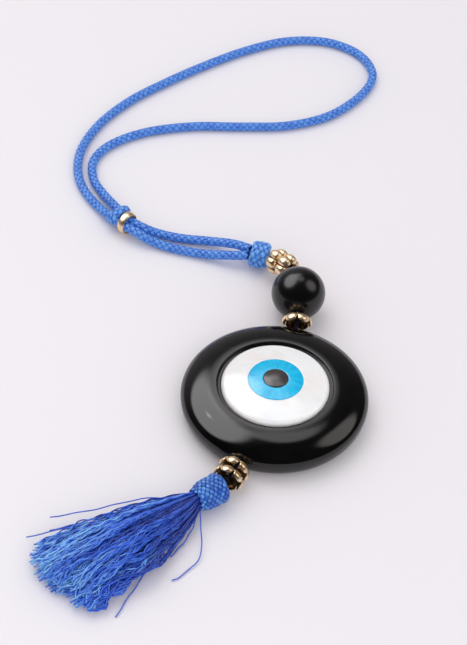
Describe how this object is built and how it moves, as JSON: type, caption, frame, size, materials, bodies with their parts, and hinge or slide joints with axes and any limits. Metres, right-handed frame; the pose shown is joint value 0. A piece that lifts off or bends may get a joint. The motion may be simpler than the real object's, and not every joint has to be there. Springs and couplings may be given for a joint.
{
  "type": "evil eye ornament",
  "caption": "Hanging charm lying flat: black stone disc with an inlaid blue eye, round bead and gold spacers, braided cord loop above and a thread tassel below.",
  "frame": {"origin": "centre of the disc's flat back, on the surface the ornament lies on", "axes": "+Z out of the eye, +Y along the drilled string hole from the tassel towards the hanging loop, +X to the right seen from above"},
  "size_m": [0.1127, 0.2398, 0.015],
  "materials": {
    "black_stone": "polished",
    "white_shell": "gloss",
    "blue_iris": "gloss",
    "dark_pupil": "polished",
    "gold_metal": "polished",
    "blue_cord": "satin",
    "blue_string": "satin",
    "blue_thread": "satin"
  },
  "bodies": {
    "disc": {"stone_disc": "black_stone", "eye_white": "white_shell", "eye_iris": "blue_iris", "eye_pupil": "dark_pupil", "disc_string": "blue_string"},
    "upper_string": {"cap_string": "blue_string", "ball_string": "blue_string"},
    "upper_cap": {"upper_disc_cap": "gold_metal"},
    "ball": {"ball_bead": "black_stone"},
    "upper_link": {"link_string": "blue_string"},
    "inner_spacer": {"inner_spacer": "gold_metal"},
    "outer_spacer": {"outer_spacer": "gold_metal"},
    "loop": {"top_knot": "blue_cord", "cord_loop": "blue_cord", "slide_knot": "blue_cord"},
    "slide_ring": {"slide_ring": "gold_metal"},
    "lower_string": {"lower_string": "blue_string"},
    "lower_cap": {"lower_disc_cap": "gold_metal"},
    "tassel_cap": {"tassel_cap": "gold_metal"},
    "tassel_link": {"tassel_tie": "blue_string"},
    "tassel": {"tassel_head": "blue_thread", "tassel_core": "blue_thread", "tassel_neck": "blue_thread", "tassel_skirt": "blue_thread"}
  },
  "joints": [
    {"name": "upper_swing", "type": "hinge", "parent": "disc", "child": "upper_string", "pos_m": [-0.0015, 0.0246, 0.0052], "axis": [0, 0, 1], "range_deg": [-30, 5]},
    {"name": "upper_cap_spin", "type": "hinge", "parent": "upper_string", "child": "upper_cap", "pos_m": [-0.0015, 0.0246, 0.0052], "axis": [-0.2019, 0.8895, 0.4099], "continuous": true},
    {"name": "ball_spin", "type": "hinge", "parent": "upper_string", "child": "ball", "pos_m": [-0.0047, 0.0368, 0.0075], "axis": [-0.2756, 0.9613, 0], "continuous": true},
    {"name": "loop_lift", "type": "hinge", "parent": "upper_string", "child": "upper_link", "pos_m": [-0.00677, 0.04401, 0.0075], "axis": [0.5446, 0.8387, 0], "range_deg": [0, 35]},
    {"name": "inner_spacer_spin", "type": "hinge", "parent": "upper_link", "child": "inner_spacer", "pos_m": [-0.01103, 0.04678, 0.00642], "axis": [-0.8203, 0.5327, -0.2079], "continuous": true},
    {"name": "outer_spacer_spin", "type": "hinge", "parent": "upper_link", "child": "outer_spacer", "pos_m": [-0.0144, 0.04896, 0.00557], "axis": [-0.8203, 0.5327, -0.2079], "continuous": true},
    {"name": "loop_swing", "type": "hinge", "parent": "upper_link", "child": "loop", "pos_m": [-0.01675, 0.0505, 0.0046], "axis": [0, 0, 1], "range_deg": [-12, 5]},
    {"name": "ring_slide", "type": "slide", "parent": "loop", "child": "slide_ring", "axis": [0.9397, -0.342, 0], "range_m": [0, 0.003]},
    {"name": "lower_swing", "type": "hinge", "parent": "disc", "child": "lower_string", "pos_m": [-0.0015, -0.0246, 0.0052], "axis": [0, 0, 1], "range_deg": [-3, 16]},
    {"name": "lower_cap_spin", "type": "hinge", "parent": "lower_string", "child": "lower_cap", "pos_m": [-0.00193, -0.02705, 0.00502], "axis": [-0.1732, -0.9822, -0.0732], "continuous": true},
    {"name": "tassel_cap_spin", "type": "hinge", "parent": "lower_string", "child": "tassel_cap", "pos_m": [-0.00254, -0.03049, 0.00476], "axis": [-0.1732, -0.9822, -0.0732], "continuous": true},
    {"name": "tassel_swing", "type": "hinge", "parent": "lower_string", "child": "tassel_link", "pos_m": [-0.00294, -0.0327, 0.0046], "axis": [0, 0, 1], "range_deg": [-3, 45]},
    {"name": "tassel_lift", "type": "hinge", "parent": "tassel_link", "child": "tassel", "pos_m": [-0.00294, -0.0327, 0.0046], "axis": [-0.809, 0.5878, 0], "range_deg": [0, 15]}
  ]
}
